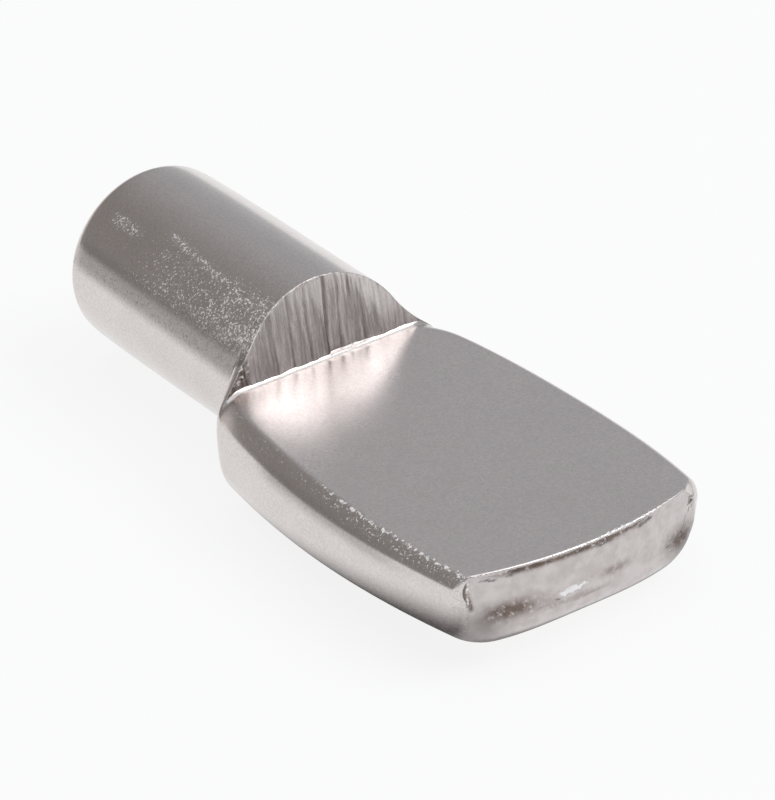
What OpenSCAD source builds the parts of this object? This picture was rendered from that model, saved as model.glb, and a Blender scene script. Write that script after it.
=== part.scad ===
// Shelf support pin, spoon pattern: a round pin for a bored hole in a cabinet side,
// with its front half pressed into a flat paddle that a shelf rests on.
// Cold formed in one piece from round steel bar. Units are millimetres.
// Frame: the pin's axis is X and the pin points to -X. Its full round wall ends at
// X = 0, which is level with the face of the cabinet side when the pin is home.
// +Z is up, the way the paddle's resting face looks.

/* [Pin] */
// Diameter of the round pin, which is the nominal size of the bored hole
pin_d = 5; // [4.5:0.1:6]
// Length of the pin from the end of its full round wall to its rear face
pin_len = 7.55; // [6:0.05:12]
// Length of the crowned lead-in at the rear end of the pin
lead_len = 1.6; // [0.8:0.1:2]
// How far the lead-in has closed on the pin's radius at its rear end
lead_drop = 0.07; // [0.05:0.01:0.2]
// Radius of the rolled rim round the rear face
rim_r = 0.3; // [0.2:0.05:0.6]

// Length of the neck from the round wall to the foot of the shoulder
neck_len = 0.75; // [0.65:0.01:1]

/* [Paddle] */
// Greatest width of the paddle
paddle_w = 8.1; // [7.1:0.05:9]
// Length of the paddle from the foot of the shoulder to the middle of its tip
paddle_len = 11.2; // [9:0.05:14]
// Height of the resting face above the pin's axis
face_z = 0.35; // [0.1:0.05:0.8]
// Radius in plan of each long side
side_r = 29; // [26:1:60]
// Where the paddle is widest, as a share of its length
widest_share = 0.51; // [0.45:0.01:0.56]
// Radius in plan of the sheared tip
tip_r = 9.8; // [7:0.1:16]
// Rise of the underside towards the tip, in degrees
belly_rise = 2.6; // [1.5:0.1:4]
// How far the underside starts above the bottom of the pin
belly_step = 0.1; // [0.05:0.01:0.2]

/* [Edges] */
// Radius of each side from its widest level up to the resting face
upper_r = 1.05; // [0.95:0.05:2.2]
// Depth of that widest level below the resting face
widest_drop = 0.87; // [0.8:0.01:0.95]
// Radius of the barrelled flank below the widest level
flank_r = 6; // [4:0.5:12]
// Radius rolled along the lower edges of the sides
lower_r = 1.25; // [0.8:0.05:1.4]
// Radius rolled along the lower edge of the tip
tip_edge_r = 1.1; // [0.3:0.05:1.2]

/* [Shoulder] */
// Lean of the sheared shoulder face, back from upright, in degrees
shoulder_lean = 8.5; // [3:0.5:14]
// Height of the hollow fillet from the resting face up to the foot of the shoulder
fillet_rise = 0.17; // [0.05:0.01:0.3]
// Length of that fillet along the resting face
fillet_len = 0.35; // [0.2:0.05:1.5]
// How far the backs of the paddle's ears stand behind the foot of the shoulder
ear_back = 0.15; // [0.1:0.01:0.25]
// Radius of the fillet between the pin and the backs of the ears
root_r = 0.45; // [0.3:0.05:0.6]
// How far each corner of the shoulder's foot stands out past the side of the pin
foot_spread = 0.45; // [0.3:0.01:0.6]
// Radius of the hollow flare from the round of the pin down to that corner
flare_r = 5; // [3:0.5:9]

/* [Hidden] */
$fn = 96;
// surplus length given to cutting bodies and hidden ends
over = 2;
pin_r = pin_d / 2;
half_w = paddle_w / 2;
widest_x = paddle_len * widest_share;
foot_z = face_z + fillet_rise;
belly_z = belly_step - pin_r;
// crowned lead-in: its radius, and the rim circle that touches both it and the rear face
crown_r = (lead_len * lead_len + lead_drop * lead_drop) / (2 * lead_drop);
rim_z = pin_len - rim_r;
rim_x = pin_r - crown_r + sqrt(pow(crown_r - rim_r, 2) - pow(lead_len - rim_r, 2));
touch_z = pin_len - lead_len + (lead_len - rim_r) * crown_r / (crown_r - rim_r);
// the neck closes in on a long arc that meets the underside below the shoulder's foot;
// the arc runs on into the paddle, where it ends out of sight
neck_r = (neck_len * neck_len + belly_step * belly_step) / (2 * belly_step);
nose_len = neck_len + 0.6;
nose_in = neck_r - sqrt(neck_r * neck_r - nose_len * nose_len);
// how far the root fillet starts inside the neck, so that the two cross cleanly
root_sink = 0.05;
// extra half width of the lower side discs, so that their rims cross the flanks cleanly
lap = 0.03;
// how far the rolled ring of the tip starts below the underside there, for the same reason
roll_sink = 0.04;
// ears: how far their flat backs reach from the axis, and the radius that opens them out
// from there until it clears the corners of the paddle
ear_reach = pin_r + 0.5;
ear_r = norm([half_w, pin_r]) - ear_reach;
// hollow flare of the shoulder: the foot's corner, and where the flare leaves the pin
foot_half = pin_r + foot_spread;
foot_far = norm([foot_half, foot_z]);
flare_reach = pin_r + flare_r;
flare_turn = atan2(foot_z, foot_half) + acos(
    (flare_reach * flare_reach + foot_far * foot_far - flare_r * flare_r)
    / (2 * foot_far * flare_reach));

// round pin: crowned lead-in and rolled rim behind, closing neck in front
module round_pin() {
    rotate([0, -90, 0]) rotate_extrude() union() {
        translate([0, -nose_len]) square([pin_r - nose_in, nose_len]);
        intersection() {
            translate([pin_r - neck_r, 0]) circle(neck_r);
            translate([0, -nose_len]) square([pin_r, nose_len]);
        }
        square([pin_r, pin_len - lead_len]);
        intersection() {
            translate([pin_r - crown_r, pin_len - lead_len]) circle(crown_r);
            translate([0, pin_len - lead_len]) square([pin_r, touch_z - pin_len + lead_len]);
        }
        translate([rim_x, rim_z]) circle(rim_r);
        square([rim_x, pin_len]);
    }
}

// rim profile of the discs that shape the upper part of the long sides
module upper_profile() {
    wide_z = face_z - widest_drop;
    top_z = wide_z + upper_r;
    low_z = -pin_r - over;
    union() {
        translate([0, low_z]) square([side_r - upper_r, top_z - low_z]);
        intersection() {
            translate([side_r - upper_r, wide_z]) circle(upper_r);
            translate([0, wide_z]) square([side_r, upper_r]);
        }
        intersection() {
            translate([side_r - flank_r, wide_z]) circle(flank_r);
            translate([0, low_z]) square([side_r, wide_z - low_z]);
        }
    }
}

// rim profile of the discs that round the lower edges, with their base on the underside
module lower_profile() {
    rim = side_r + lap;
    union() {
        square([rim - lower_r, 2 * pin_d]);
        translate([0, lower_r]) square([rim, 2 * pin_d - lower_r]);
        translate([rim - lower_r, lower_r]) circle(lower_r);
    }
}

module upper_disc(side) {
    translate([widest_x, side * (half_w - side_r), 0])
        rotate_extrude() upper_profile();
}

module lower_disc(side) {
    base_z = belly_z + widest_x * tan(belly_rise);
    translate([widest_x, side * (half_w - side_r), base_z])
        rotate([0, -belly_rise, 0]) rotate_extrude() lower_profile();
}

// the discs overlap in the plan outline and in the rounded section of the paddle
module sides() {
    intersection() {
        upper_disc(1);
        upper_disc(-1);
        lower_disc(1);
        lower_disc(-1);
    }
}

// sheared tip: a disc, less the ring that is rolled off its lower edge
module tip() {
    roll_z = belly_z + (paddle_len - tip_edge_r) * tan(belly_rise) - roll_sink;
    translate([paddle_len - tip_r, 0, 0]) difference() {
        translate([0, 0, -pin_d]) cylinder(h = 2 * pin_d, r = tip_r);
        rotate_extrude() difference() {
            translate([tip_r - tip_edge_r, roll_z - over]) square([over, over + tip_edge_r]);
            translate([tip_r - tip_edge_r, roll_z + tip_edge_r]) circle(tip_edge_r);
        }
    }
}

// body of revolution that rounds the ears outwards from their backs
module ear_limit() {
    rotate([0, 90, 0]) rotate_extrude() translate([0, -ear_back]) union() {
        square([ear_reach, paddle_len + over]);
        translate([ear_reach, ear_r]) circle(ear_r);
        translate([0, ear_r]) square([ear_reach + ear_r, paddle_len + over]);
    }
}

module paddle() {
    intersection() {
        sides();
        tip();
        ear_limit();
    }
}

// hollow flare on each flank of the shoulder, drawn across the pin
module flare_outline() {
    at = flare_reach * [cos(flare_turn), sin(flare_turn)];
    for (side = [0, 1]) mirror([side, 0]) difference() {
        polygon([
            [0, 0], pin_r * [cos(flare_turn), sin(flare_turn)], at,
            [foot_half, foot_z], [foot_half, 0],
        ]);
        translate(at) circle(flare_r);
    }
}

// fillet of revolution from the pin out to the backs of the ears
module root_body() {
    rotate([0, -90, 0]) rotate_extrude() difference() {
        square([pin_r + root_r - root_sink, ear_back + root_r]);
        translate([pin_r + root_r - root_sink, ear_back + root_r]) circle(root_r);
    }
}

module root() {
    intersection() {
        root_body();
        union() {
            rotate([90, 0, 90]) translate([0, 0, -over]) linear_extrude(over) flare_outline();
            sides();
        }
    }
}

// the space pressed away above the paddle: leaning shoulder, hollow fillet, resting face
module punch() {
    fillet_r = (fillet_len * fillet_len + fillet_rise * fillet_rise) / (2 * fillet_rise);
    top_z = pin_r + over;
    rotate([90, 0, 0]) translate([0, 0, -pin_d - over]) linear_extrude(2 * (pin_d + over))
        intersection() {
            union() {
                translate([fillet_len, face_z + fillet_r]) circle(fillet_r);
                translate([fillet_len, face_z]) square([paddle_len + over, top_z]);
                translate([-over, foot_z]) square([paddle_len + over, top_z]);
            }
            polygon([
                [0, foot_z], [(foot_z - top_z) * tan(shoulder_lean), top_z],
                [paddle_len + over, top_z], [paddle_len + over, face_z - over],
                [0, face_z - over],
            ]);
        }
}

// everything in front of the neck is drawn from the foot of the shoulder
module support_pin() {
    color([0.74, 0.73, 0.72]) difference() {
        union() {
            round_pin();
            translate([neck_len, 0, 0]) {
                root();
                paddle();
            }
        }
        translate([neck_len, 0, 0]) punch();
    }
}

support_pin();
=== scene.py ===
import math

import bpy
import numpy as np
from mathutils import Matrix, Vector


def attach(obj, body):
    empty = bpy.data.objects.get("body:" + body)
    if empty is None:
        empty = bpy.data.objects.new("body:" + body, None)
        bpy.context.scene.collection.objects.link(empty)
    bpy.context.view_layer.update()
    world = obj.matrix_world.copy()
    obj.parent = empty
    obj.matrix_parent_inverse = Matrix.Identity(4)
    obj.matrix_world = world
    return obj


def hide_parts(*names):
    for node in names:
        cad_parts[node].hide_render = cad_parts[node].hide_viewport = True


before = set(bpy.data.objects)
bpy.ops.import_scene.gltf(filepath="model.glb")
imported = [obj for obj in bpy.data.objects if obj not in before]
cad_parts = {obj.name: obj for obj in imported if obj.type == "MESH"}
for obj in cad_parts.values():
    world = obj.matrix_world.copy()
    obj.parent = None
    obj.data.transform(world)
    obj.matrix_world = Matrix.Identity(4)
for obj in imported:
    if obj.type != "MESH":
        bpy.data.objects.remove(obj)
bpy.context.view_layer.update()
mm = 0.001                                # shapes below are worked out in millimetres


def added(name, data):
    made = bpy.data.objects.new(name, data)
    bpy.context.scene.collection.objects.link(made)
    return made


# small helpers for shapes
def smooth(low, high, value):
    t = np.clip((value - low) / (high - low), 0, 1)
    return t * t * (3 - 2 * t)


def window(value, start, full, fading, gone):
    # rises from start to full, and falls from fading to gone
    return smooth(start, full, value) * (1 - smooth(fading, gone, value))


def bell(value, middle, width):
    return np.exp(-((value - middle) / width) ** 2)


def spot(y, z, atY, width, atZ, height):
    return bell(y, atY, width) * bell(z, atZ, height)


def crowded(t, much):
    # draws evenly spaced rows between 0 and 1 towards both ends, or to the middle if much is negative
    return t - much * math.sin(2 * math.pi * t) / (2 * math.pi)


def softNoise(x, y, cellX, cellY, seed):
    # smooth random field between -1 and 1, one random value for each cell corner
    size, shift = 128, 40                 # corners along each side, and where the origin lies among them
    grid = np.random.default_rng(seed).uniform(-1, 1, (size, size))
    u, v = np.asarray(x) / cellX + shift, np.asarray(y) / cellY + shift
    i, j = np.floor(u).astype(int), np.floor(v).astype(int)
    fu, fv = smooth(0, 1, u - i), smooth(0, 1, v - j)
    a, b = grid[i % size, j % size], grid[(i + 1) % size, j % size]
    c, d = grid[i % size, (j + 1) % size], grid[(i + 1) % size, (j + 1) % size]
    return (a * (1 - fu) + b * fu) * (1 - fv) + (c * (1 - fu) + d * fu) * fv


# the round bar: rear face, rim, drawn-in end and the neck
bar = {
    "radius": 2.5,
    "rear": 7.475,                        # mean distance of the rear face behind x = 0
    "rearDome": 0.02,                     # how far the rear face swells in its middle
    "rearTilt": (0.004, 0.028),           # the rear face leans a little, in y and in z
    "tiltFrom": -3.0,                     # x where the lean sets in
    "crown": (3.2, 0.045),                # length of the drawn-in rear end and how much it closes
    "rim": 0.36,
    "neckFrom": -0.02,                    # x where the neck starts
    "earX": 1.245,                        # x where the ears have opened out in full
    "steep": (0.55, 0.905),               # how upright the neck ends, above and behind the ears
    "ringAt": 1.0,                        # x of the outline that spaces the columns round the bar
    "capRings": 6,
    "rimRows": 8,
    "bodyRows": 30,
    "neckRows": 24,
}

# the pressed paddle
paddle = {
    "foot": 0.75,                         # x of the shoulder's foot
    "reach": 11.92,                       # x of the tip's middle
    "halfWidth": 4.045,
    "sideRadius": 29.0,
    "widestAt": 6.38,
    "faceZ": 0.34,
    "filletRise": 0.075,                  # hollow fillet up to the shoulder's foot
    "filletLength": 0.17,
    "upperRadius": (1.08, 1.12, 0.68),    # side above its widest level: at the foot, halfway and at the tip
    "edgeRoll": (0.2, 0.2, 0.15),         # radius of the flat's edge, at the same places
    "halfway": 5.0,                       # x of the second and of the third of these places
    "atTip": 11.5,
    "upperTurn": 35.0,                    # where the flat's rolled edge hands over to the side, degrees
    "cornerRoll": (0.7, 0.65),            # extra radius at the shoulder's corners, and how far it lasts
    "flankRadius": 6.0,
    "lowerRadius": 1.16,
    "bellyZ": -2.4,
    "bellyRise": 2.6,                     # degrees
    "closeRows": (12, 0.5, 1.3),          # rows near the foot: how many, how far, and how they open out
    "evenRows": (80, 0.6, 10.6),          # rows after them: how many, from where and to where
}

# its sheared tip
tip = {
    "radius": 9.85,                       # in plan
    "roll": (1.02, 0.8),                  # rolled lower edge: in the middle and at the corners
    "edge": (0.05, 0.2, 0.45),            # edge radius round the flat, at the flank and at the lower rounding
    "blunt": 0.3,                         # extra radius of the right corner, which is rubbed round
    "bluntAt": 0.88,                      # share of the flat's half width where that sets in
    "bluntBelow": 0.3,                    # share of it that is left lower down
    "rollRows": 16,
    "rows": 44,                           # down the torn face
    "crowding": 0.7,
    "calmEdge": (0.02, 3),                # share of the height below the top edge, and columns from each side
    "rollTorn": (0.2, 0.8, 0.3),          # tears set in round the rolled edge, and less where it is thin
    "torn": (0.42, 3.36, 0.3),            # bare metal: how far back, out to each side, and below the flat
    "setBack": 0.03,
    "rough": [(0.016, 0.5, 0.3, 23), (0.008, 0.16, 0.11, 24)],  # depth, width, height and seed
    "rolledBelow": (-1.75, -1.2),         # smooth below the first z, rough above the second
    "hollow": (-3.3, -2.9, 2.0, 2.6),     # torn hollow under the top edge: starts, full, fades, gone
    "hollowSize": (0.16, 0.075, 0.05),    # how far down it lies, its height and its depth
    "hollowRagged": (0.7, 0.5, 0.14, 0.2, 21),  # mean, variation, width, height and seed
    "hollowWander": (0.05, 0.3, 22),      # its line goes up and down by this much, this long, and seed
    "dents": [(-2.3, 0.75, -0.85, 0.3), (2.6, 0.8, -0.85, 0.3)],  # y, width, z and height
    "dentDepth": (0.03, 0.025, 0.12, 0.1, 25),  # mean, variation, width, height and seed
    "pressed": (-0.8, -0.81, 0.99, 0.13),  # y, z and direction of one pressed spot
    "pressedShape": (0.55, (-0.2, 0.1, 0.08, 0.16), 0.05),  # length, how it runs across, and depth
}

# the sheared shoulder between them
shoulder = {
    "lean": 8.5,
    "flareLeft": (1.55, 30.0),            # height where each flank leaves the round, and its hollow radius
    "flareRight": (1.3, 3.8),
    "rows": 56,
    "crowding": 0.8,                      # how much these rows crowd at the edges
    "calmEdge": 0.05,                     # no tears in this share of the height, at both edges
    "footStep": (0.13, -0.1),             # the foot line jumps back at this y, by this much in x
    "stepShape": (-0.03, 0.05, 0.25, 1.6),  # past that y: starts, full, fades, gone
    "footWander": [(0.012, 0.16, 5), (0.014, 0.5, 6)],  # how much, how long and seed
    "footCalm": (2.3, 2.95),              # the wandering dies away between these, out to each side
    "waves": [                            # depth, slant, width, length and seed of the fine tears
        (0.003, 0.7, 0.05, 0.9, 11), (0.004, -0.5, 0.12, 1.6, 12), (0.008, 0.4, 0.45, 1.2, 13),
    ],
    "grooves": [                          # y at the foot, lean, width and depth of the deep tears
        (0.1, 0.06, 0.045, 0.05), (-0.42, 0.02, 0.03, 0.02), (0.52, 0.03, 0.035, 0.022),
        (0.86, 0.02, 0.03, 0.018), (1.22, 0.01, 0.03, 0.012), (-0.95, 0.01, 0.04, 0.018),
        (-1.45, 0.0, 0.035, 0.02), (-1.86, 0.02, 0.03, 0.016), (1.75, 0.0, 0.03, 0.008),
    ],
    "grooveFade": (0.55, 0.45, 0.4, 14),  # mean, how much it varies, how long and seed
    "chip": (-2.55, 0.3, 0.8, 0.28),      # y, width, z and height
    "chipDepth": (0.05, 0.035, 0.09, 15),  # the same for its depth
}

# columns round each ring: top, then down the right side, under and up the left side
columns = {"top": 176, "upper": 14, "flank": 8, "lower": 14, "belly": 160}


def halfWidthAt(x):
    r = paddle["sideRadius"]
    return paddle["halfWidth"] - r + np.sqrt(r * r - (x - paddle["widestAt"]) ** 2)


def alongPaddle(values, x):
    # smooth blend of a value at the foot, halfway and at the tip
    first, middle, last = values
    foot, halfway, atTip = paddle["foot"], paddle["halfway"], paddle["atTip"]
    return first + (middle - first) * smooth(foot, halfway, x) + (last - middle) * smooth(halfway, atTip, x)


def edgeRollAt(x):
    extra, reach = paddle["cornerRoll"]
    return alongPaddle(paddle["edgeRoll"], x) + extra * bell(x, paddle["foot"], reach)


def upperRadiusAt(x):
    return alongPaddle(paddle["upperRadius"], x)


def bellyAt(x):
    return paddle["bellyZ"] + (x - paddle["foot"]) * math.tan(math.radians(paddle["bellyRise"]))


def topHalfAt(x):
    # half width of the top strip, up to where the rounded side takes over
    turn = math.radians(paddle["upperTurn"])
    return halfWidthAt(x) - upperRadiusAt(x) * (1 - math.sin(turn))


def filletAt(x):
    rise, length = paddle["filletRise"], paddle["filletLength"]
    r = (length ** 2 + rise ** 2) / (2 * rise)
    left = np.clip(length - (x - paddle["foot"]), 0, length)
    return r - np.sqrt(r * r - left * left)


def topAt(x, y):
    e = edgeRollAt(x)
    past = np.clip(np.abs(y) - (topHalfAt(x) - e * math.sin(math.radians(paddle["upperTurn"]))), 0, e)
    return paddle["faceZ"] + filletAt(x) - (e - np.sqrt(e * e - past * past))


def sectionAt(x, kind, share, side):
    # y and z of the paddle's outline at x, with the outward direction
    turn = math.radians(paddle["upperTurn"])
    width, e = halfWidthAt(x), edgeRollAt(x)
    big, flank = upperRadiusAt(x), paddle["flankRadius"]
    edgeY = topHalfAt(x)
    edgeZ = topAt(x, edgeY)
    levelZ = paddle["faceZ"] - e * (1 - math.cos(turn)) - big * math.cos(turn)
    low = np.minimum(paddle["lowerRadius"], levelZ - bellyAt(x))
    sinBeta = np.clip((levelZ - low - bellyAt(x)) / (flank - low), 0, 1)
    beta = np.arcsin(sinBeta)
    # upper arc, scaled so that it ends exactly on the top strip
    tau = turn + share * (math.pi / 2 - turn)
    full = 1 - math.sin(turn)
    upperY = width - (width - edgeY) * (1 - np.sin(tau)) / full
    upperZ = levelZ + (edgeZ - levelZ) * np.cos(tau) / math.cos(turn)
    # barrelled flank
    flankY = width - flank * (1 - np.cos(beta * share))
    flankZ = levelZ - flank * np.sin(beta * share)
    flankTurn = math.pi / 2 + beta * share
    # rolled lower edge
    startY, startZ = width - flank * (1 - np.cos(beta)), levelZ - flank * sinBeta
    centreY, centreZ = startY - low * np.cos(beta), startZ + low * sinBeta
    lowTurn = math.pi / 2 + beta + share * (math.pi / 2 - beta)
    lowerY, lowerZ = centreY + low * np.sin(lowTurn), centreZ + low * np.cos(lowTurn)
    # the top strip comes first and the underside last
    parts = [kind == 0, kind == 1, kind == 2, kind == 3]
    y = np.select(parts, [edgeY * share, upperY, flankY, lowerY], centreY * (1 - 2 * share))
    z = np.select(parts, [topAt(x, edgeY * share), upperZ, flankZ, lowerZ], bellyAt(x) + 0 * share)
    facing = np.select(parts, [0 * share, tau, flankTurn, lowTurn], math.pi + 0 * share)
    return y * side, z, np.sin(facing) * side, np.cos(facing)


def ringColumns():
    # one entry for each column: which part of the outline, how far along it, and the side
    top, rest = columns["top"], []
    order = [(1, "upper"), (2, "flank"), (3, "lower")]
    for kind, name in order:
        for k in range(1, columns[name] + 1):
            rest.append((kind, k / columns[name], 1))
    for k in range(1, columns["belly"]):
        rest.append((4, k / columns["belly"], 1))
    for kind, name in reversed(order):
        for k in range(columns[name], 0, -1):
            rest.append((kind, k / columns[name], -1))
    kinds = [0] * (top + 1) + [r[0] for r in rest]
    shares = [2 * j / top - 1 for j in range(top + 1)] + [r[1] for r in rest]
    sides = [1] * (top + 1) + [r[2] for r in rest]
    return np.array(kinds), np.array(shares, float), np.array(sides, float)


def bellOutline(y):
    # height of the shoulder's upper edge over y: the round of the bar, then a hollow flare to each corner
    r = bar["radius"]
    foot = topHalfAt(paddle["foot"])
    z = np.sqrt(np.maximum(r * r - y * y, 0))
    for sign, (startZ, hollow) in ((-1, shoulder["flareLeft"]), (1, shoulder["flareRight"])):
        start = np.array([math.sqrt(r * r - startZ * startZ), startZ])
        end = np.array([foot, topAt(paddle["foot"], foot)])
        chord = end - start
        normal = np.array([-chord[1], chord[0]]) / np.linalg.norm(chord)
        normal = normal if normal @ np.array([1, 1]) > 0 else -normal
        centre = (start + end) / 2 + normal * math.sqrt(hollow ** 2 - (chord @ chord) / 4)
        inside = np.clip(np.abs(y), start[0], end[0])
        arc = centre[1] - np.sqrt(hollow ** 2 - (inside - centre[0]) ** 2)
        z = np.where((np.sign(y) == sign) & (np.abs(y) > start[0]), arc, z)
    return z


def shoulderPlane(z):
    height = z - paddle["faceZ"] - paddle["filletRise"]
    return paddle["foot"] - height * math.tan(math.radians(shoulder["lean"]))


def footLineAt(y):
    # the shoulder's foot wanders a little, and jumps back at the long tear
    at, jump = shoulder["footStep"]
    wander = jump * window(y - at, *shoulder["stepShape"])
    for amount, length, seed in shoulder["footWander"]:
        wander = wander + amount * softNoise(y, 0 * y, length, 1, seed)
    return paddle["foot"] + wander * (1 - smooth(*shoulder["footCalm"], np.abs(y)))


def shoulderRelief(y, z):
    # fine upright scratches, broad shallow waves, some deep grooves and a chipped flank
    out = 0
    for depth, slant, width, length, seed in shoulder["waves"]:
        out = out + depth * softNoise(y, z + slant * y, width, length, seed)
    mean, varied, length, seed = shoulder["grooveFade"]
    for middle, slant, width, depth in shoulder["grooves"]:
        fade = mean + varied * softNoise(y * 0 + middle, z, 1, length, seed)
        out = out - depth * fade * bell(y, middle + slant * (z - paddle["faceZ"]), width)
    mean, varied, length, seed = shoulder["chipDepth"]
    return out - spot(y, z, *shoulder["chip"]) * (mean + varied * softNoise(y, z, length, length, seed))


def pressedAt(y, z):
    # distances along and across the pressed spot of the tip
    atY, atZ, level, slant = tip["pressed"]
    return (y - atY) * level + (z - atZ) * slant, (z - atZ) * level - (y - atY) * slant


def tipRelief(y, z):
    # fracture of the tip: a torn hollow under the top edge, rough metal, a pressed spot and two dents
    down, height, depth = tip["hollowSize"]
    mean, varied, *cells = tip["hollowRagged"]
    ragged = mean + varied * softNoise(y, z, *cells)
    wander, length, seed = tip["hollowWander"]
    line = paddle["faceZ"] - down - wander * softNoise(y, 0 * y, length, 1, seed)
    out = -depth * window(y, *tip["hollow"]) * ragged * bell(z, line, height)
    for amount, width, tall, seed in tip["rough"]:
        out = out + amount * softNoise(y, z, width, tall, seed) * smooth(*tip["rolledBelow"], z)
    along, across = pressedAt(y, z)
    length, run, depth = tip["pressedShape"]
    out = out - depth * bell(along, 0, length) * window(across, *run)
    mean, varied, *cells = tip["dentDepth"]
    dented = sum(spot(y, z, *dent) for dent in tip["dents"])
    return out - dented * (mean + varied * softNoise(y, z, *cells)) - tip["setBack"]


def tipArc(y):
    r = tip["radius"]
    return paddle["reach"] - r + np.sqrt(r * r - y * y)


def barRings():
    # x and radius of each ring: the rear face, its rim, and the wall with its drawn-in end
    length, closing = bar["crown"]
    crownRadius = (length ** 2 + closing ** 2) / (2 * closing)
    rim, rear = bar["rim"], bar["rear"]
    rings = []
    rimR = bar["radius"] - closing - rim
    for k in range(1, bar["capRings"] + 1):
        t = k / bar["capRings"]
        rings.append((-rear - bar["rearDome"] * (1 - t * t), rimR * t))
    for k in range(1, bar["rimRows"] + 1):
        a = math.pi / 2 * k / bar["rimRows"]
        rings.append((-rear + rim * (1 - math.cos(a)), rimR + rim * math.sin(a)))
    first, last = -rear + rim, bar["neckFrom"]
    for k in range(1, bar["bodyRows"] + 1):
        x = first + (last - first) * k / bar["bodyRows"]
        back = min(max(0.0, -rear + length - x), length)
        rings.append((x, bar["radius"] - crownRadius + math.sqrt(crownRadius ** 2 - back ** 2)))
    return rings


def barAngles(kind, share, side):
    # direction of each column round the bar's axis, and the shoulder's edge that the top columns end on
    foot = topHalfAt(paddle["foot"])
    sectionY, sectionZ, _, _ = sectionAt(bar["ringAt"], kind, share, side)
    bellY = foot * share
    bellZ = bellOutline(np.clip(bellY, -foot, foot))
    angle = np.where(kind == 0, np.arctan2(bellY, bellZ), np.arctan2(sectionY, sectionZ))
    # the upper arc is spread evenly from the corner to where it ends
    one = np.array([1.0])
    y, z, _, _ = sectionAt(bar["ringAt"], np.array([0, 1]), np.array([1.0, 1.0]), one)
    firstAway, lastAway = np.abs(np.arctan2(y, z))
    cornerAngle = np.arctan2(foot, topAt(paddle["foot"], foot))
    away = np.abs(np.arctan2(sectionY, sectionZ))
    upper = cornerAngle + (lastAway - cornerAngle) * (away - firstAway) / (lastAway - firstAway)
    return np.where(kind == 1, upper * side, angle), bellY, bellZ


def pinRows(kind, share, side):
    # rings from the rear face to the shoulder's edge: shape (rows, columns, 3)
    angle, bellY, bellZ = barAngles(kind, share, side)
    roundY, roundZ = np.sin(angle), np.cos(angle)
    tiltY, tiltZ = bar["rearTilt"]
    out = []
    for x, radius in barRings():
        y, z = radius * roundY, radius * roundZ
        weight = float(smooth(bar["tiltFrom"], -bar["rear"], np.array(x)))
        out.append(np.stack([x + weight * (tiltY * y + tiltZ * z), y, z], -1))
    # neck: the round opens out into the shoulder's flares above and the paddle's ears below
    foot = topHalfAt(paddle["foot"])
    cornerX = shoulderPlane(topAt(paddle["foot"], foot))
    endX = np.where(kind == 0, shoulderPlane(bellZ), bar["earX"])
    endX = np.where(kind == 1, cornerX + (bar["earX"] - cornerX) * smooth(0, 1, share), endX)
    above, behind = bar["steep"]
    steep = np.where(kind == 0, above, np.where(kind == 1, above + (behind - above) * smooth(0, 1, share), behind))
    startX, r = bar["neckFrom"], bar["radius"]
    for k in range(1, bar["neckRows"] + 1):
        t = k / bar["neckRows"]
        x = startX + (endX - startX) * crowded(t, -steep)
        g = t * t * (3 - 2 * t)
        goalY, goalZ, _, _ = sectionAt(x, kind, share, side)
        goalY = np.where(kind == 0, bellY, goalY)
        goalZ = np.where(kind == 0, bellZ, goalZ)
        y = r * roundY * (1 - g) + goalY * g
        z = r * roundZ * (1 - g) + goalZ * g
        if k == bar["neckRows"]:
            x = endX
        out.append(np.stack([x, y, z], -1))
    return np.array(out)


def tipRolls(kind, share, side):
    # radius that rounds the tip's edge at each column
    thin, flank, low = tip["edge"]
    middle, corner = tip["roll"]
    blunt = np.where(side > 0, tip["blunt"], 0)            # the right corner only
    below = blunt * tip["bluntBelow"]
    ends = 0.5 + 0.5 * np.cos(2 * math.pi * share)
    return np.select([kind == 0, kind == 1, kind == 2, kind == 3], [
        thin + tip["blunt"] * smooth(tip["bluntAt"], 1, share),
        thin + blunt + (below - blunt) * share + (flank - thin) * share,
        flank + below + (low - flank) * share,
        low + below + (corner - low) * np.sin(math.pi * share * 0.5),
    ], middle + (corner + below * (1 - share) - middle) * ends)


def paddleRows(kind, share, side, lastRing):
    # rings from the shoulder's foot to the tip's outline; the first row is the foot line above
    startX = np.where(kind == 0, footLineAt(topHalfAt(paddle["foot"]) * share), lastRing[:, 0])
    roll = tipRolls(kind, share, side)

    def endAt(inset, drop):
        # x where each column meets the tip's arc, settled in a few rounds
        x = np.full(len(kind), paddle["reach"] - 0.7)
        for _ in range(6):
            y, z, ny, nz = sectionAt(x, kind, share, side)
            x = tipArc(y - drop * ny) - inset
        return x

    rows = [np.stack([startX, *sectionAt(startX, kind, share, side)[:2]], -1)]
    rows[0][kind != 0] = lastRing[kind != 0]
    rows[0][[0, columns["top"]]] = lastRing[[0, columns["top"]]]
    count, reach, opening = paddle["closeRows"]
    close = np.linspace(0, 1, count + 1)[1:] ** opening * reach
    count, first, last = paddle["evenRows"]
    finish = endAt(roll, 0)
    for s in np.concatenate([close, np.linspace(first, last, count)]) / last:
        x = startX + (finish - startX) * s
        y, z, _, _ = sectionAt(x, kind, share, side)
        rows.append(np.stack([x, y, z], -1))
    start, full, thick = tip["rollTorn"]
    for k in range(1, tip["rollRows"] + 1):
        a = math.pi / 2 * k / tip["rollRows"]
        drop = roll * (1 - math.cos(a))
        x = endAt(roll * (1 - math.sin(a)), drop)
        y, z, ny, nz = sectionAt(x, kind, share, side)
        y, z = y - drop * ny, z - drop * nz
        torn = smooth(start, full, k / tip["rollRows"]) * smooth(0, thick, roll - tip["edge"][0])
        rows.append(np.stack([x + tipRelief(y, z) * torn, y, z], -1))
    return np.array(rows)


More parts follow.
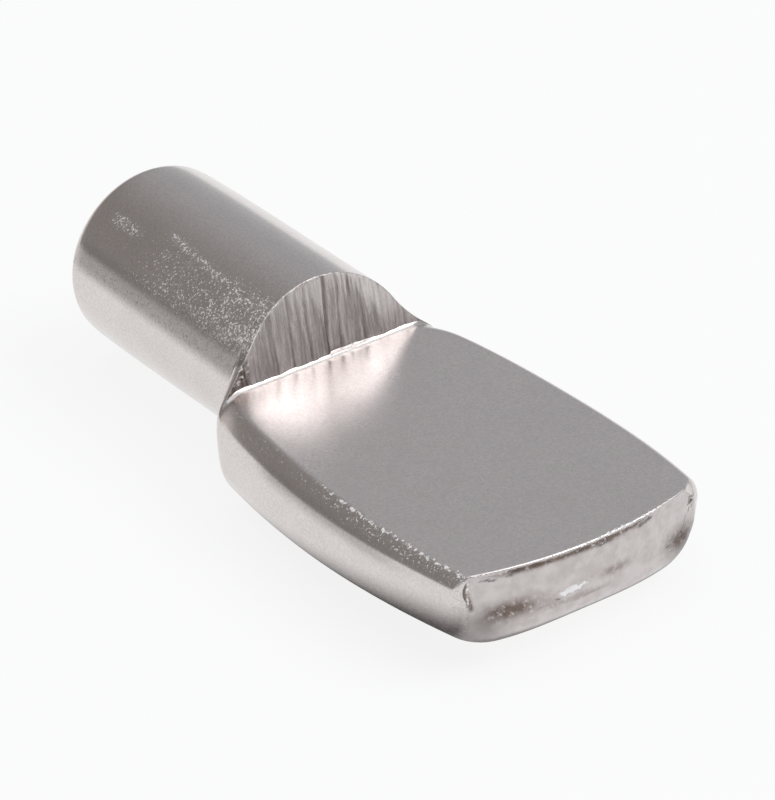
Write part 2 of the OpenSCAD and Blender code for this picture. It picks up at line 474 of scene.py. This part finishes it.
def bridge(faces, upper, lower):
    # quads between two rows of vertex numbers, leaving out sides that have closed to nothing
    for k in range(len(upper) - 1):
        corners = [upper[k], lower[k], lower[k + 1], upper[k + 1]]
        loop = [c for n, c in enumerate(corners) if c != corners[n - 1]]
        if len(loop) > 2:
            faces.append(loop)


def pinShape():
    # all points in millimetres, all faces, and how many of them are plated
    kind, share, side = ringColumns()
    count, top = len(kind), columns["top"]
    back = pinRows(kind, share, side)
    front = paddleRows(kind, share, side, back[-1])
    verts, faces = [], []

    def add(points):
        first = len(verts)
        verts.extend(points)
        return list(range(first, first + len(points)))

    # rear face and the bar
    centre = add([np.array([-bar["rear"] - bar["rearDome"], 0, 0])])[0]
    rings = [add(ring) for ring in back]
    loop = rings[0] + rings[0][:1]
    for k in range(count):
        faces.append([centre, loop[k], loop[k + 1]])
    for one, two in zip(rings, rings[1:]):
        bridge(faces, one + one[:1], two + two[:1])
    # paddle, sharing the ring under the shoulder's corners
    edge = rings[-1]
    footLine = add(front[0][1:top])
    ring = [edge[0]] + footLine + edge[top:]
    for points in front[1:]:
        following = add(points)
        bridge(faces, ring + ring[:1], following + following[:1])
        ring = following
    plated = len(faces)

    def fill(above, last, high, low, torn, xAt):
        # rows of quads down a torn patch
        for k in range(1, torn["rows"]):
            v = crowded(k / torn["rows"], torn["crowding"])
            x, y, z = (high * (1 - v) + low * v).T
            points = np.stack([xAt(x, y, z, v), y, z], -1)
            below = [above[0]] + add(points[1:-1]) + [above[-1]]
            bridge(faces, above, below)
            above = below
        bridge(faces, above, last)

    def shoulderX(x, y, z, v):
        calm = shoulder["calmEdge"]
        return x + shoulderRelief(y, z) * smooth(0, calm, v) * smooth(0, calm, 1 - v)

    def tipX(x, y, z, v):
        calmTop, calmSide = tip["calmEdge"]
        place = np.arange(len(y))
        inside = smooth(0, calmTop, v) * smooth(0, calmSide, np.minimum(place, place[::-1]))
        return tipArc(y) + tipRelief(y, z) * inside

    arc = back[-1][:top + 1]
    foot = np.vstack([arc[:1], front[0][1:top], arc[top:]])
    fill(edge[:top + 1], [edge[0]] + footLine + [edge[top]], arc, foot, shoulder, shoulderX)
    ends = columns["upper"]
    upper = ring[count - ends:] + ring[:top + ends + 1]
    lower = [ring[(count - ends - k) % count] for k in range(len(upper))]
    corners = np.array(verts)
    fill(upper, lower, corners[upper], corners[lower], tip, tipX)
    return np.array(verts), faces, plated


# wear and painted shade on the bar: angles are in degrees from the top towards -y
barWearAndShade = {
    "round": (0.62, 2.62),                # the bar's own surface: up to this x, and inside this radius
    "pitBand": (16, 36, 62, 74),          # starts, full, fades, gone
    "pitLevel": [(0.25, -6.6, -5), (0.3, -5.2, -3.4), (0.22, -2.6, 0.2)],  # amount, x where it sets in and is full
    "streaks": [                          # angle, turn for each millimetre past x, that x, width, and x window
        (29, 1.9, -4.1, 4.5, (-4.6, -4.0, 8, 9)), (38.5, 0, 0, 5, (-6.8, -6.2, -5.3, -4.9)),
    ],
    "streakLevel": 0.82,
    # painted shade, a darker reflection of the room, in a band along the bar's lower flank
    "grimeAndShade": 0.54,
    "shadeBand": (56, 68, 72, 82),
    "shadeTurn": (0.5, -7),               # the band's lower side opens by this much a millimetre, from this x
    "shadeFrom": (-7.4, -6.8),
}

# wear and painted shade on the paddle's long sides
sideWearAndShade = {
    "from": (0.9, -0.6),                  # burred in front of this x and above this z, on the -y side
    "edgeTo": 11.6,                       # the flat's edge is followed up to this x
    "burr": (-0.01, 0.09, 0.6, 0.4),      # place beside the flat's edge, width, level and how much it grows
    "burrGrows": (4.2, 6.8),              # x where it grows
    "specks": (0.12, 0.16, 0.55, 0.2),    # the same for the specks below the edge
    "specksGrow": (3, 8),
    # painted shade low on the sides, where the rolled lower edge mirrors the floor's shadow
    "grimeAndShade": 0.95,
    "shadeLine": (-1.28, 0.13, 4),        # z of its upper side, rise for each millimetre, and x where it is so high
    "shadeFade": (-0.1, 0.95),
    "shadeFrom": (1.2, (2.0, 3.0)),       # in front of this x, and out from the middle
    "shadeStripe": (0.35, -0.16, 0.16),         # amount, z and height of a painted shade stripe along the widest part
    "stripeWindow": (2.8, 4, 8, 10),
    "stripeFrom": (3, 3.4),
}

# wear, dirt, painted shade and a painted highlight on the tip
tipWearAndPaintedLight = {
    "from": 6,                            # bare metal in front of this x is the tip's
    "burr": (0.03, 0.06, 0.03, 0.14),     # ragged edge, painted bright as its highlight: below the flat, height, extra height and how far back
    "burrLevel": (0.6, 0.4),              # along the edge, and extra where it is raggedest
    "raggedest": (0.9, 1.3),              # y of that place and its width
    "burrEnds": (2.3, 3.0),
    "pressedBurr": (1.2, 0.5, 0.1, 0.62, 0.14),  # level, how far back, place, length and width
    "cornerBurr": (1.2, 0.3, -3.43, 0.06, 0.32, 0.05),  # level, how far back, y, width, z and height
    "shadeUnderTip": (0.7, 0.6, 1.48, 1.68),        # painted shade under the tip: amount, how far back, and down from where to where
    "lessShade": (0.5, -0.9, -0.1, 3.25, 3.5),  # less of it close to the tip, inside the corners
    "dirtBack": 0.5,
    "dirtAndShade": [                             # amount, y, width, z and height
        (1.1, -2.3, 0.72, -0.86, 0.25), (0.9, 2.75, 0.5, -0.95, 0.25),
        (0.6, -0.5, 0.7, -1.05, 0.07), (0.55, 0.6, 0.5, -0.7, 0.12),
    ],
    "dirtyHollow": (-3.2, -2.0, 1.0, 1.9),
    "crack": (2.0, 0.29, -3.41, 0.06),    # at the left corner: amount, z and y of its top, and width
    "crackBend": (0.06, 0.12),
    "crackWindow": (-0.7, -0.45, 0.15, 0.27),
}

# wear, dirt, painted shade and a painted highlight on the shoulder
shoulderWearAndPaintedLight = {
    "upTo": 0.85,                         # bare metal behind this x is the shoulder's
    "facet": (-2.42, -2.08, 0.95, 1.5),   # facet at the -y corner, with dirt and painted shade: y window and z window
    "facetBurr": (0.7, 0.42, 0.55),       # level, and z where it sets in and is full
    "rim": (0.95, 0.05, 0.06, 0.6),       # painted highlight along the upper edge: level, width in x, width in z, and lowest z
    "glintFades": (0.5, 0.4, 1.6),          # by how much, and y where it starts and is full
    "grooveDirt": (0.05, 1.2),            # depth that is full of dirt, and how much wider than the groove
    "patch": (0.3, -2.2, 0.4, 0.85, 0.35),  # dirt at the -y corner: amount, y, width, z and height
    "lowDarker": (0.22, 0.55, 0.5),         # darker along the lower half: amount, z and height
    "midDarker": (0.16, 0.1, 0.9),          # darker up the middle: amount, y and width
    "rightShade": (0.17, 1.2, 2.3),        # painted shade towards +y: amount, and y where it starts and is full
    # painted shade on the -y corner facet, which faces away from the light, over its blotchy dirt
    "facetDirtAndShade": 0.95,
}


def pitsAt(x, z, around, onBar):
    amount, first, full = barWearAndShade["pitLevel"][0]
    level = amount + sum(extra * smooth(start, end, x) for extra, start, end in barWearAndShade["pitLevel"][1:])
    pitted = window(around, *barWearAndShade["pitBand"]) * level * smooth(first, full, x)
    streak = 0
    for angle, turn, at, width, run in barWearAndShade["streaks"]:
        streak = np.maximum(streak, bell(around, angle + turn * (x - at), width) * window(x, *run))
    return np.where(onBar, np.maximum(pitted, barWearAndShade["streakLevel"] * streak * (z > 0)), 0)


def besideFlat(x, y, z, middle, width, level, more, grows):
    # band along the flat's edge on the -y side
    firstX, lowest = sideWearAndShade["from"]
    edge = np.abs(y) - topHalfAt(np.clip(x, paddle["foot"], sideWearAndShade["edgeTo"]))
    beside = np.where((x > firstX) & (z > lowest) & (y < 0), 1, 0)
    return beside * bell(edge, middle, width) * (level + more * smooth(*grows, x))


def facetAt(y, z):
    outer, inner, low, high = shoulderWearAndPaintedLight["facet"]
    return (1 - smooth(outer, inner, y)) * (1 - smooth(low, high, z))


def burrsAndGlintsAt(x, y, z, arc):
    burrsAndGlints = besideFlat(x, y, z, *sideWearAndShade["burr"], sideWearAndShade["burrGrows"])
    # along the tip's upper edge: a ragged burr, painted bright as the edge's highlight
    down, height, more, back = tipWearAndPaintedLight["burr"]
    most = bell(y, *tipWearAndPaintedLight["raggedest"])
    level, extra = tipWearAndPaintedLight["burrLevel"]
    ragged = bell(z, paddle["faceZ"] - down, height + more * most) * (x > arc - back)
    burrsAndGlints = np.maximum(burrsAndGlints, ragged * (level + extra * most) * (1 - smooth(*tipWearAndPaintedLight["burrEnds"], y)))
    # in the pressed spot and at the left corner
    along, across = pressedAt(y, z)
    level, back, middle, length, width = tipWearAndPaintedLight["pressedBurr"]
    burrsAndGlints = np.maximum(burrsAndGlints, level * bell(along, middle, length) * bell(across, 0, width) * (x > arc - back))
    level, back, *corner = tipWearAndPaintedLight["cornerBurr"]
    burrsAndGlints = np.maximum(burrsAndGlints, level * spot(y, z, *corner) * (x > arc - back))
    # round the shoulder: a painted highlight along its upper edge, and chips on the facet
    level, widthX, widthZ, lowest = shoulderWearAndPaintedLight["rim"]
    less, start, full = shoulderWearAndPaintedLight["glintFades"]
    rim = bell(x - shoulderPlane(z), 0, widthX) * bell(bellOutline(y) - z, 0, widthZ) * (z > lowest)
    burrsAndGlints = np.maximum(burrsAndGlints, level * rim * (1 - less * smooth(start, full, y)))
    level, start, full = shoulderWearAndPaintedLight["facetBurr"]
    return np.maximum(burrsAndGlints, level * facetAt(y, z) * (x < shoulderWearAndPaintedLight["upTo"]) * smooth(start, full, z))


def paintedShadeAt(x, y, z, around, onBar, arc):
    # painted shade low on the sides, with a painted shade stripe along their widest part
    line, rise, at = sideWearAndShade["shadeLine"]
    firstX, fromMiddle = sideWearAndShade["shadeFrom"]
    below = line + rise * (x - at) - z
    paintedShade = sideWearAndShade["grimeAndShade"] * smooth(*sideWearAndShade["shadeFade"], below) * (x > firstX) * smooth(*fromMiddle, np.abs(y))
    amount, level, height = sideWearAndShade["shadeStripe"]
    shadeStripe = bell(z, level, height) * window(x, *sideWearAndShade["stripeWindow"]) * smooth(*sideWearAndShade["stripeFrom"], np.abs(y))
    paintedShade = np.maximum(paintedShade, amount * shadeStripe)
    # less painted shade close to the tip, and painted shade under its lip
    less, start, full, inner, outer = tipWearAndPaintedLight["lessShade"]
    paintedShade = paintedShade * (1 - less * smooth(arc + start, arc + full, x) * (1 - smooth(inner, outer, np.abs(y))))
    amount, back, start, full = tipWearAndPaintedLight["shadeUnderTip"]
    paintedShade = np.where(x > arc - back, np.maximum(paintedShade, amount * smooth(start, full, -z)), paintedShade)
    # painted shade low on the bar
    start, full, fading, gone = barWearAndShade["shadeBand"]
    opening, at = barWearAndShade["shadeTurn"]
    more = opening * (x - at)
    turned = window(around, start, full, fading + more, gone + more) * smooth(*barWearAndShade["shadeFrom"], x)
    return np.where(onBar & (y < 0), barWearAndShade["grimeAndShade"] * turned, paintedShade)


def dirtAndShadeAt(x, y, z, arc):
    # on the tip: patches, the hollow under its edge and the crack at its left corner
    down, height, _ = tip["hollowSize"]
    dirtAndShade = bell(z, paddle["faceZ"] - down, height) * window(y, *tipWearAndPaintedLight["dirtyHollow"])
    dirtAndShade = dirtAndShade + sum(amount * spot(y, z, *place) for amount, *place in tipWearAndPaintedLight["dirtAndShade"])
    amount, topZ, topY, width = tipWearAndPaintedLight["crack"]
    slant, bend = tipWearAndPaintedLight["crackBend"]
    line = topY + slant * (topZ - z) + bend * (topZ - z) ** 2
    dirtAndShade = dirtAndShade + amount * bell(y, line, width) * window(z, *tipWearAndPaintedLight["crackWindow"])
    # on the shoulder: dirt in the grooves and in patches, painted shade towards +y and on the facet, and darker low
    # down and up the middle
    deep, wider = shoulderWearAndPaintedLight["grooveDirt"]
    scoredAndShaded = 0
    for middle, slant, width, depth in shoulder["grooves"]:
        scoredAndShaded = scoredAndShaded + depth / deep * bell(y, middle + slant * (z - paddle["faceZ"]), width * wider)
    amount, *place = shoulderWearAndPaintedLight["patch"]
    scoredAndShaded = scoredAndShaded + amount * spot(y, z, *place)
    amount, start, full = shoulderWearAndPaintedLight["rightShade"]
    scoredAndShaded = scoredAndShaded + amount * smooth(start, full, y)
    amount, level, height = shoulderWearAndPaintedLight["lowDarker"]
    scoredAndShaded = scoredAndShaded + amount * bell(z, level, height)
    amount, middle, width = shoulderWearAndPaintedLight["midDarker"]
    scoredAndShaded = scoredAndShaded + amount * bell(y, middle, width)
    scoredAndShaded = np.maximum(scoredAndShaded, shoulderWearAndPaintedLight["facetDirtAndShade"] * facetAt(y, z))
    dirtAndShade = np.where(x > arc - tipWearAndPaintedLight["dirtBack"], dirtAndShade, np.where(x < shoulderWearAndPaintedLight["upTo"], scoredAndShaded, 0))
    return np.clip(dirtAndShade, 0, 1)


def wearAndPaintedLightAt(verts):
    # how pitted, burred and dirty the surface is at each point, how much painted shade it has and where it has
    # painted highlights, from 0 to 1
    x, y, z = verts.T
    endX, radius = barWearAndShade["round"]
    around = np.degrees(np.arctan2(-y, z))
    onBar = (x < endX) & (np.hypot(y, z) < radius)
    arc = tipArc(y)
    return {
        "pitted": pitsAt(x, z, around, onBar),
        "burrsAndGlints": burrsAndGlintsAt(x, y, z, arc),
        "specks": besideFlat(x, y, z, *sideWearAndShade["specks"], sideWearAndShade["specksGrow"]),
        "paintedShade": paintedShadeAt(x, y, z, around, onBar, arc),
        "torn": np.where(x > tipWearAndPaintedLight["from"], 1, 0),
        "dirtAndShade": dirtAndShadeAt(x, y, z, arc),
    }


def buildPin():
    verts, faces, plated = pinShape()
    mesh = bpy.data.meshes.new("supportPin")
    mesh.from_pydata((verts * mm).tolist(), [], faces)
    mesh.update()
    mesh.polygons.foreach_set("use_smooth", np.ones(len(faces), bool))
    x, y, z = np.array([verts[face].mean(0) for face in faces]).T
    back, out, down = tip["torn"]
    torn = (x > tipArc(y) - back) & (np.abs(y) < out) & (z < paddle["faceZ"] - down)
    torn = torn | (np.arange(len(faces)) >= plated)
    mesh.polygons.foreach_set("material_index", torn.astype(np.int32))
    for name, values in wearAndPaintedLightAt(verts).items():
        mesh.attributes.new(name, "FLOAT", "POINT").data.foreach_set("value", values.astype(np.float32))
    return mesh


class Wire:
    # one value in a material; arithmetic on it adds the Math nodes

    def __init__(self, tree, socket=None):
        self.tree, self.socket = tree, socket

    def node(self, kind, settings=None, sockets=None):
        made = self.tree.nodes.new(kind)
        for name, value in (settings or {}).items():
            setattr(made, name, value)
        for name, value in (sockets or {}).items():
            if isinstance(value, Wire):
                self.tree.links.new(value.socket, made.inputs[name])
            else:
                made.inputs[name].default_value = value
        first = next((o for o in made.outputs if o.enabled), None)
        return Wire(self.tree, first)

    def out(self, name):
        return Wire(self.tree, self.socket.node.outputs[name])

    def maths(self, operation, first, second):
        return self.node("ShaderNodeMath", {"operation": operation}, {0: first, 1: second})

    def __add__(self, other):
        return self.maths("ADD", self, other)

    def __sub__(self, other):
        return self.maths("SUBTRACT", self, other)

    def __rsub__(self, other):
        return self.maths("SUBTRACT", other, self)

    def __mul__(self, other):
        return self.maths("MULTIPLY", self, other)

    def __lt__(self, other):
        return self.maths("LESS_THAN", self, other)

    __radd__, __rmul__ = __add__, __mul__

    def between(self, low, high, start=0.0, end=1.0):
        # soft step: start up to low, end from high on
        return self.node("ShaderNodeMapRange", {"interpolation_type": "SMOOTHSTEP"},
                         {"Value": self, "From Min": low, "From Max": high, "To Min": start, "To Max": end})

    def step(self, low, high, amount):
        # soft step from nothing up to the amount
        return self.between(low, high) * amount

    def blend(self, first, second):
        # mix of two colours by this value
        return self.node("ShaderNodeMix", {"data_type": "RGBA"}, {"Factor": self, 6: first, 7: second}).out(2)


def noise(point, scale, detail, roughness):
    return point.node("ShaderNodeTexNoise", {}, {"Vector": point, "Scale": scale, "Detail": detail,
                                                 "Roughness": roughness})


def flecks(point, scale, amount, size):
    # scattered bumps: a cell holds one where its own random value is below the amount
    cells = point.node("ShaderNodeTexVoronoi", {}, {"Vector": point, "Scale": scale})
    chance = cells.node("ShaderNodeSeparateColor", {}, {"Color": cells.out("Color")})
    return (chance < amount) * cells.between(size, 0.0)


def opaque(colour):
    return (*colour, 1)


def newMetal(name, base, roughness):
    metal = bpy.data.materials.new(name)
    metal.use_nodes = True
    tree = metal.node_tree
    shader = tree.nodes["Principled BSDF"]
    shader.inputs["Metallic"].default_value = 1.0
    shader.inputs["Base Color"].default_value = opaque(base)
    shader.inputs["Roughness"].default_value = roughness
    point = Wire(tree).node("ShaderNodeTexCoord").out("Object")
    point = point.node("ShaderNodeVectorMath", {"operation": "SCALE"}, {0: point, "Scale": 1 / mm})
    return metal, shader, point


def wearAndPaintedLight(point, name):
    return point.node("ShaderNodeAttribute", {"attribute_name": name}).out("Fac")


def feed(shader, name, wire):
    wire.tree.links.new(wire.socket, shader.inputs[name])


def flaws(field, worn, lift, low, high):
    # flaws stand where the noise and the wear together are high
    return (field + worn * lift).between(low, high)


def raised(shader, height):
    # bumps on the surface from a height in millimetres
    feed(shader, "Normal", height.node("ShaderNodeBump", {}, {"Strength": 1.0, "Distance": mm, "Height": height}))


def withGrimeAndShade(shader, point, amount, shade):
    # thin dull dark layer over the metal, for grime and for painted shade
    film = point.node("ShaderNodeBsdfDiffuse", {}, {"Color": opaque(shade)})
    mixed = point.node("ShaderNodeMixShader", {}, {0: amount, 1: Wire(point.tree, shader.outputs[0]), 2: film})
    point.tree.links.new(mixed.socket, point.tree.nodes["Material Output"].inputs["Surface"])


# nickel plating; a noise is its scale to the millimetre, detail and roughness
plate = {
    "base": (0.75, 0.70, 0.68),
    "dull": (0.6, 0.56, 0.545),
    "bright": (0.95, 0.93, 0.92),
    # dull dark colour of grime, also used for painted shade
    "grimeAndShade": (0.12, 0.105, 0.1),
    "roughness": 0.17,
    "cloudRough": 0.06,                   # extra roughness in clouds and where it is pitted
    "pittedRough": 0.1,
    "brushed": 0.11,                      # extra roughness of the resting face
    "face": ((0.7, 0.85), (0.2, 0.32)),   # where that sets in, in x and in z
    "grain": (16.0, 3, 0.7),
    "cloud": (0.9, 3, 0.5),
    "crust": (16.0, 2, 0.6),
    "clump": (3.2, 3, 0.6),
    "crumbs": (9.0, 2, 0.6),
    "strays": (2.6, 0.03, 0.1),           # lone flecks: scale, how many and size
    "chipsAndGlints": (0.4, 0.84, 1.0),            # how much wear adds to the noise, and where flaws set in and are full
    "specks": (0.3, 0.78, 0.94),
    "pits": (0.74, 0.94),
    "pitLift": 0.26,                      # the same for pits, and more in clumps: from, to and how much
    "clumped": (0.35, 0.6, 0.1),
    "clouded": (0.35, 0.7, 0.15),         # duller in clouds
    "grainy": (0.3, 0.7, 0.8),            # duller in the grain
    "pitDull": 0.8,                       # how far pits and specks are from metal
    "speckDull": 0.5,
    "grainDepth": 0.0004,                 # millimetres
    "pitDepth": 0.01,
    "mottled": (0.6, 0.35, 0.2),          # grime between pits and specks: from, to and how much
    "mottledSpecks": 0.6,
    "shadeGrain": (0.85, 0.3),            # how even the film is, and how far the grain shows in it
}


def nickelPlate():
    metal, shader, point = newMetal("nickelPlate", plate["base"], plate["roughness"])
    grain, cloud, crust, clump, crumbs = [
        noise(point, *plate[name]) for name in ("grain", "cloud", "crust", "clump", "crumbs")]
    pitted, speckled = wearAndPaintedLight(point, "pitted"), wearAndPaintedLight(point, "specks")
    pits = flaws(crust, pitted, plate["pitLift"] + clump.step(*plate["clumped"]), *plate["pits"])
    chipsAndGlints = flaws(crumbs, wearAndPaintedLight(point, "burrsAndGlints"), *plate["chipsAndGlints"])
    specks = flaws(crust, speckled, *plate["specks"])
    flawsAndGlints = pits + chipsAndGlints + specks
    strays = flecks(point, *plate["strays"])
    # colour, with painted highlights along the shoulder's upper edge and the tip's top edge
    dulled = cloud.step(*plate["clouded"]) + grain.step(*plate["grainy"])
    shade = dulled.blend(opaque(plate["base"]), opaque(plate["dull"]))
    feed(shader, "Base Color", flawsAndGlints.blend(shade, opaque(plate["bright"])))
    feed(shader, "Metallic", 1 - (pits * plate["pitDull"] + chipsAndGlints + specks * plate["speckDull"]))
    # roughness and relief
    x = point.node("ShaderNodeSeparateXYZ", {}, {"Vector": point})
    faceX, faceZ = plate["face"]
    brushed = x.between(*faceX) * x.out("Z").between(*faceZ) * plate["brushed"]
    clouds = (cloud - 0.5) * plate["cloudRough"]
    feed(shader, "Roughness", plate["roughness"] + clouds + pitted * plate["pittedRough"] + brushed)
    raised(shader, grain * plate["grainDepth"] + (flawsAndGlints + strays) * plate["pitDepth"])
    # grime between pits and specks, and painted shade low on the paddle and the bar
    start, full, amount = plate["mottled"]
    mottled = (pitted + speckled * plate["mottledSpecks"]) * crumbs.between(start, full) * amount
    even, grainy = plate["shadeGrain"]
    withGrimeAndShade(shader, point, wearAndPaintedLight(point, "paintedShade") * (even + grain * grainy) + mottled, plate["grimeAndShade"])
    return metal


# bare steel of the sheared shoulder and the torn tip
shorn = {
    "base": (0.67, 0.632, 0.626),
    "dark": (0.2, 0.155, 0.135),
    "bright": (0.95, 0.93, 0.92),
    "roughness": 0.17,
    "dirtyRough": 0.15,                   # extra roughness in dirt, in crumbs and between scratches
    "crumbRough": 0.15,
    "frayed": (0.5, 0.34, 0.28),
    "stretch": (0.3, 1, 0.07),            # scratches run upright
    "streak": (9.0, 4, 0.75),
    "crumbs": (7.0, 4, 0.65),
    "blotches": (2.4, 3, 0.55),
    "streaky": (0.45, 0.68, 0.4),         # darker shoulder: from, to and how much
    "shoulderDirtAndShade": 0.85,
    "foul": (0.28, 0.5, 0.9),             # darker tip: dirt in crumbs, blotches, crumbs and all over
    "blotchy": (0.35, 0.65, 0.2),
    "crumbly": 0.15,
    "allOver": 0.03,
    "chipsAndGlints": (0.5, 0.9, 1.04),            # how much wear adds, and where chips and painted highlights set in and are full
    "chipDull": 0.9,
    "scratchDepth": 0.004,
    "crumbDepth": 0.014,
    "dirtDepth": 0.02,
}


def shornSteel():
    metal, shader, point = newMetal("shornSteel", shorn["base"], shorn["roughness"])
    torn, dirtAndShade = wearAndPaintedLight(point, "torn"), wearAndPaintedLight(point, "dirtAndShade")
    sheared = 1 - torn
    upright = point.node("ShaderNodeVectorMath", {"operation": "MULTIPLY"}, {0: point, 1: shorn["stretch"]})
    streak = noise(upright, *shorn["streak"])
    crumbs, blotches = noise(point, *shorn["crumbs"]), noise(point, *shorn["blotches"])
    # colour: scored, dirty and painted in shade on the shoulder, fouled on the tip
    scoredAndShaded = sheared * (streak.step(*shorn["streaky"]) + dirtAndShade * shorn["shoulderDirtAndShade"])
    start, full, amount = shorn["foul"]
    fouled = dirtAndShade * crumbs.between(start, full) * amount + blotches.step(*shorn["blotchy"])
    fouled = torn * (fouled + crumbs * shorn["crumbly"] + shorn["allOver"])
    chipsAndGlints = flaws(crumbs, wearAndPaintedLight(point, "burrsAndGlints"), *shorn["chipsAndGlints"])
    shade = (scoredAndShaded + fouled).blend(opaque(shorn["base"]), opaque(shorn["dark"]))
    feed(shader, "Base Color", chipsAndGlints.blend(shade, opaque(shorn["bright"])))
    feed(shader, "Metallic", 1 - chipsAndGlints * shorn["chipDull"])
    # roughness and relief
    start, full, amount = shorn["frayed"]
    frayed = sheared * streak.between(start, full) * amount
    rough = shorn["roughness"] + dirtAndShade * shorn["dirtyRough"] + (crumbs - 0.5) * shorn["crumbRough"]
    feed(shader, "Roughness", rough + frayed)
    height = sheared * streak * shorn["scratchDepth"] + torn * crumbs * shorn["crumbDepth"]
    raised(shader, height + torn * dirtAndShade * crumbs * shorn["dirtDepth"])
    # painted shade under the tip
    withGrimeAndShade(shader, point, torn * wearAndPaintedLight(point, "paintedShade"), plate["grimeAndShade"])
    return metal


pinMesh = buildPin()
print("pin mesh:", len(pinMesh.vertices), "points,", sum(len(p.vertices) - 2 for p in pinMesh.polygons), "triangles")
pinPiece = added("supportPin", pinMesh)
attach(pinPiece, "root")
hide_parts("support_pin")
pinMesh.materials.append(nickelPlate())
pinMesh.materials.append(shornSteel())
print("finishes:", ", ".join(m.name for m in pinMesh.materials))


# the floor and the light
studio = {
    "floorSize": 4.0,
    "floorShade": 0.86,
    "floorGlow": 0.86,                    # how much of the floor that is seen is plain white
    "room": (0.46, 0.29),                 # brightness of the room: in general, and on its dark side
    "darkWay": (-0.906, -0.423),          # direction of that side, in x and y
    "darkSide": (0.44, 0.82),             # where it starts and is full
    "lowDown": ((0.0, 0.4, 0.12, 0.0), (0.4, 0.6, 1.0, 0.0)),  # lighter low down, but not on the dark side
    "patches": [                          # lighter and darker ones: range in x and in height, and amount
        ((-0.86, -0.97), (0.35, 0.05), 0.4), ((0.2, 0.6), (0.5, 0.25), -0.16),
    ],
    "tints": ((0.98, 0.995, 1.04), (1.0, 0.95, 0.925)),
    "lampTint": (0.98, 1.0, 1.01),
    "boxes": [                            # name, direction (round, up), distance, size, brightness
        ("overhead", (100, 84), 0.75, (0.88, 0.88), 0.55),
        ("right", (42, 48), 0.9, (0.66, 0.52), 3.3),
    ],
}


def emptied(owner):
    owner.use_nodes = True
    owner.node_tree.nodes.clear()
    return Wire(owner.node_tree)


def buildFloor():
    half = studio["floorSize"] / 2
    mesh = bpy.data.meshes.new("floor")
    z = -bar["radius"] * mm
    mesh.from_pydata([(-half, -half, z), (half, -half, z), (half, half, z), (-half, half, z)], [], [(0, 1, 2, 3)])
    paper = bpy.data.materials.new("palePaper")
    start = emptied(paper)
    ray = start.node("ShaderNodeLightPath")
    seen = ray.out("Is Camera Ray") + ray.out("Is Glossy Ray") + ray.out("Is Transmission Ray")
    diffuse = start.node("ShaderNodeBsdfDiffuse", {}, {"Color": opaque([studio["floorShade"]] * 3)})
    glow = start.node("ShaderNodeEmission", {}, {"Strength": 1.0})
    mixed = start.node("ShaderNodeMixShader", {}, {0: seen * studio["floorGlow"], 1: diffuse, 2: glow})
    start.node("ShaderNodeOutputMaterial", {}, {"Surface": mixed})
    mesh.materials.append(paper)
    floor = added("floor", mesh)


def buildRoom():
    # soft grey room, darker to one side
    world = bpy.data.worlds.new("room")
    bpy.context.scene.world = world
    start = emptied(world)
    look = start.node("ShaderNodeTexCoord").out("Generated")
    parts = look.node("ShaderNodeSeparateXYZ", {}, {"Vector": look})
    x, y, z = [parts.out(name) for name in "XYZ"]
    alongX, alongY = studio["darkWay"]
    toDark = x * alongX + y * alongY
    general, darkest = studio["room"]
    level = toDark.between(*studio["darkSide"], general, darkest)
    lower, away = studio["lowDown"]
    level = level + z.between(*lower) * toDark.between(*away)
    for rangeX, rangeZ, amount in studio["patches"]:
        level = level + x.between(*rangeX) * z.between(*rangeZ) * amount
    tint = toDark.between(*studio["darkSide"]).blend(*[opaque(colour) for colour in studio["tints"]])
    shade = start.node("ShaderNodeVectorMath", {"operation": "SCALE"}, {0: tint, "Scale": level})
    back = start.node("ShaderNodeBackground", {}, {"Color": shade, "Strength": 1.0})
    start.node("ShaderNodeOutputWorld", {}, {"Surface": back})


def buildLamps():
    for name, (around, up), distance, (width, height), brightness in studio["boxes"]:
        lamp = bpy.data.lights.new(name, "AREA")
        lamp.shape = "RECTANGLE"
        lamp.size, lamp.size_y = width, height
        lamp.color = studio["lampTint"]
        lamp.energy = math.pi * width * height * brightness
        box = added(name, lamp)
        a, e = math.radians(around), math.radians(up)
        towards = Vector((math.cos(a) * math.cos(e), math.sin(a) * math.cos(e), math.sin(e)))
        box.location = towards * distance
        box.rotation_euler = towards.to_track_quat("Z", "Y").to_euler()


camera = {
    "around": 56.67, "up": 30.12, "roll": -3.55,
    "distance": 141.7,                    # millimetres, as is the target
    "target": (2.934, 0.297, 0.0),
    "lens": 259.02,
    "sensor": 36.0,
    "clip": (0.005, 20.0),
}


def buildCamera():
    a, e, r = [math.radians(camera[name]) for name in ("around", "up", "roll")]
    back = Vector((math.sin(a) * math.cos(e), -math.cos(a) * math.cos(e), math.sin(e)))
    right = Vector((math.cos(a), math.sin(a), 0))
    above = back.cross(right)
    sideways = right * math.cos(r) + above * math.sin(r)
    upwards = above * math.cos(r) - right * math.sin(r)
    turn = Matrix((sideways, upwards, back)).transposed()
    data = bpy.data.cameras.new("camera")
    data.lens, data.sensor_width = camera["lens"], camera["sensor"]
    data.clip_start, data.clip_end = camera["clip"]
    place = Vector(camera["target"]) * mm + back * camera["distance"] * mm
    made = added("camera", data)
    made.matrix_world = Matrix.Translation(place) @ turn.to_4x4()
    bpy.context.scene.camera = made


buildFloor()
buildRoom()
buildLamps()
buildCamera()
bpy.context.scene.view_settings.view_transform = "Standard"
print("floor, room,", len(studio["boxes"]), "soft boxes and camera set up")
